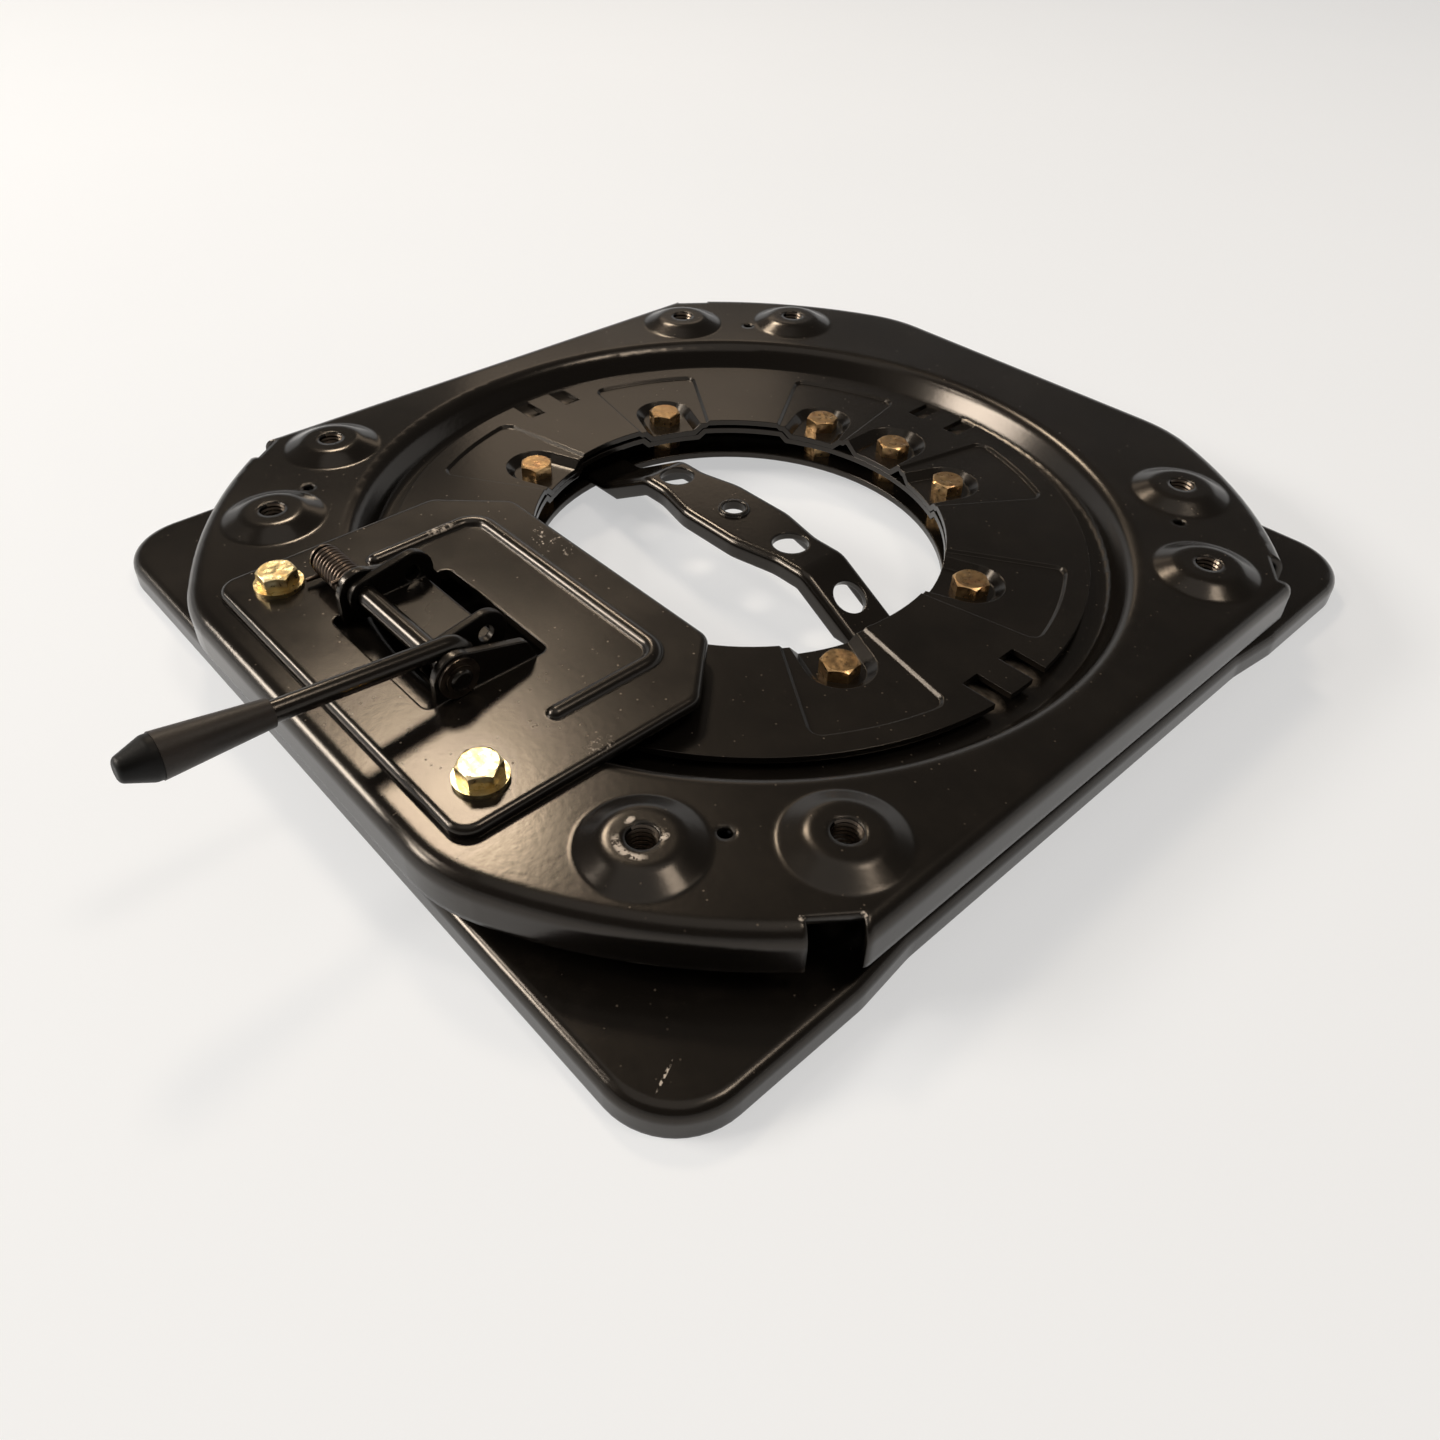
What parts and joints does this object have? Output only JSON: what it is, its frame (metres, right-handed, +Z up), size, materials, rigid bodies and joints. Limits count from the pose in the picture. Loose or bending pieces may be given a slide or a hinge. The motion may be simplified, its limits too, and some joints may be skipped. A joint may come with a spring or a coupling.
{
  "type": "swivel seat base",
  "caption": "Pressed steel swivel base for a vehicle seat: a turning top plate with bolt bosses on a square base, locked by a sprung lever latch.",
  "frame": {"origin": "on the swivel axis at the level of the base plate's feet", "axes": "+Z up along the swivel axis, the latch lever on the -Y side, the straight side flanges on +X and -X"},
  "size_m": [0.362, 0.4592, 0.0713],
  "materials": {
    "black_paint": "gloss black",
    "yellow_zinc": "yellow zinc plating",
    "bare_steel": "bare",
    "spring_steel": "oiled",
    "grip_plastic": "satin moulded",
    "cap_plastic": "satin moulded",
    "glide_plastic": "smooth"
  },
  "bodies": {
    "base": {"base_plate": "black_paint", "lower_glide_ring": "glide_plastic", "upper_glide_ring": "glide_plastic", "lock_ring": "black_paint", "under_ring": "black_paint", "ring_bolts": "yellow_zinc", "spacer_nuts": "yellow_zinc", "cross_strap": "black_paint"},
    "turntable": {"top_plate": "black_paint", "seat_weld_nuts": "bare_steel", "latch_plate": "black_paint", "latch_bolts": "yellow_zinc", "latch_washers": "yellow_zinc", "latch_weld_nuts": "bare_steel"},
    "lever": {"pivot_shaft": "black_paint", "pivot_washer": "bare_steel", "shaft_clips": "bare_steel", "pawl": "black_paint", "lever_bar": "black_paint", "grip_sleeve": "grip_plastic", "grip_cap": "cap_plastic", "torsion_spring": "spring_steel"}
  },
  "joints": [
    {"name": "swivel", "type": "hinge", "parent": "base", "child": "turntable", "pos_m": [0, 0, 0], "axis": [0, 0, 1], "range_deg": [-180, 180]},
    {"name": "lever", "type": "hinge", "parent": "turntable", "child": "lever", "pos_m": [0, -0.1552, 0.0467], "axis": [-1, 0, 0], "range_deg": [0, 18]}
  ]
}
